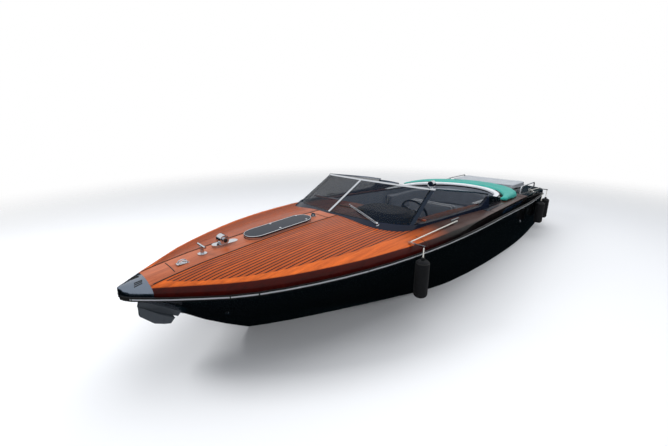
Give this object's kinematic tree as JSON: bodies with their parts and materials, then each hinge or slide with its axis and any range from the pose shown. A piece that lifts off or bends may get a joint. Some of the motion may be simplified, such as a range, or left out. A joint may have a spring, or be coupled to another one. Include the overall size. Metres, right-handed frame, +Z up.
{
  "type": "mahogany-decked sports runabout boat",
  "caption": "Open sports runabout with black deep-V hull, mahogany deck, raked wrap windscreen, U-shaped cockpit seating and a stern drive.",
  "frame": {"origin": "on the waterplane, on the centreline, halfway along the boat", "axes": "+X forward to the bow, +Y to port, +Z up"},
  "size_m": [8.216, 2.6376, 2.245],
  "materials": {
    "hull_gelcoat": "gloss black gelcoat",
    "mahogany_planks": "varnished mahogany planks with dark seams",
    "mahogany_board": "varnished mahogany",
    "mahogany_king": "varnished mahogany, plain",
    "stainless": "polished stainless steel",
    "tinted_glass": "grey tinted safety glass",
    "dark_glass": "smoked acrylic",
    "screen_base": "gloss dark blue paint",
    "liner_grey": "grey gelcoat",
    "silver_leather": "silver grey coated upholstery",
    "white_leather": "white coated upholstery",
    "turquoise_leather": "turquoise coated upholstery",
    "brown_leather": "dark brown upholstery",
    "dark_rim": "dark stitched leather rim",
    "engine_paint": "grey engine paint",
    "drive_paint": "satin black drive paint",
    "white_rope": "white braided polyester",
    "instrument_face": "black dials behind glass",
    "fender_cover": "navy knitted cover"
  },
  "bodies": {
    "boat": {"aft_backrest": "silver_leather", "aft_seat_base": "liner_grey", "aft_seat_cushion": "silver_leather", "anchor": "stainless", "bollard": "stainless", "bow_cap": "stainless", "cabin_berth": "silver_leather", "cabin_bulkhead": "mahogany_board", "cleats": "stainless", "coaming_pad": "white_leather", "cockpit_liner": "liner_grey", "covering_boards": "mahogany_board", "dash_cowl": "brown_leather", "dashboard": "liner_grey", "deck_light": "stainless", "deck_planking": "mahogany_planks", "drive_housing": "drive_paint", "engine_beds": "liner_grey", "engine_block": "engine_paint", "exhausts": "stainless", "fender_hooks": "stainless", "fender_lines": "white_rope", "fenders": "fender_cover", "helm_backrest": "silver_leather", "helm_bench_base": "liner_grey", "helm_seat": "silver_leather", "hull_shell": "hull_gelcoat", "instruments": "instrument_face", "king_plank": "mahogany_king", "rub_rail": "stainless", "searchlight": "stainless", "skylight_frame": "stainless", "steering_column": "stainless", "stem_band": "stainless", "stern_deck": "hull_gelcoat", "stern_rails": "stainless", "sunpad": "turquoise_leather", "swim_platform": "mahogany_board", "throttle": "stainless", "trim_tabs": "stainless", "windlass": "stainless", "windscreen_base": "screen_base", "windscreen_glass": "tinted_glass", "windscreen_mullions": "stainless", "windscreen_rail": "stainless"},
    "engine_hatch": {"engine_hatch": "hull_gelcoat", "aft_pad": "white_leather"},
    "skylight_lid": {"skylight_lid": "dark_glass"},
    "cabin_door": {"cabin_door": "mahogany_board"},
    "steering_wheel": {"steering_wheel": "dark_rim"},
    "drive_yoke": {"drive_yoke": "drive_paint"},
    "drive_leg": {"drive_leg": "drive_paint"},
    "propeller": {"propeller": "stainless"}
  },
  "joints": [
    {"name": "hatch_lift", "type": "hinge", "parent": "boat", "child": "engine_hatch", "pos_m": [-3.294, 0, 0.838], "axis": [0, -1, 0], "range_deg": [0, 65]},
    {"name": "skylight_lift", "type": "hinge", "parent": "boat", "child": "skylight_lid", "pos_m": [2.97, 0, 1.017], "axis": [0, 1, 0], "range_deg": [0, 60]},
    {"name": "cabin_door_swing", "type": "hinge", "parent": "boat", "child": "cabin_door", "pos_m": [1.216, -0.515, 0.54], "axis": [0, 0, 1], "range_deg": [0, 90]},
    {"name": "drive_steer", "type": "hinge", "parent": "boat", "child": "drive_yoke", "pos_m": [-3.76, 0, -0.13], "axis": [0, 0, 1], "range_deg": [-30, 30]},
    {"name": "drive_tilt", "type": "hinge", "parent": "drive_yoke", "child": "drive_leg", "pos_m": [-3.832, 0, -0.06], "axis": [0, 1, 0], "range_deg": [0, 35]},
    {"name": "propeller_spin", "type": "hinge", "parent": "drive_leg", "child": "propeller", "pos_m": [-4.056, 0, -0.6], "axis": [1, 0, 0], "continuous": true},
    {"name": "wheel_turn", "type": "hinge", "parent": "boat", "child": "steering_wheel", "pos_m": [0.75, 0.52, 0.96], "axis": [-0.925, 0, 0.38], "range_deg": [-365, 365]}
  ],
  "couplings": [
    {"joint": "wheel_turn", "follows": "drive_steer", "ratio": 12}
  ]
}
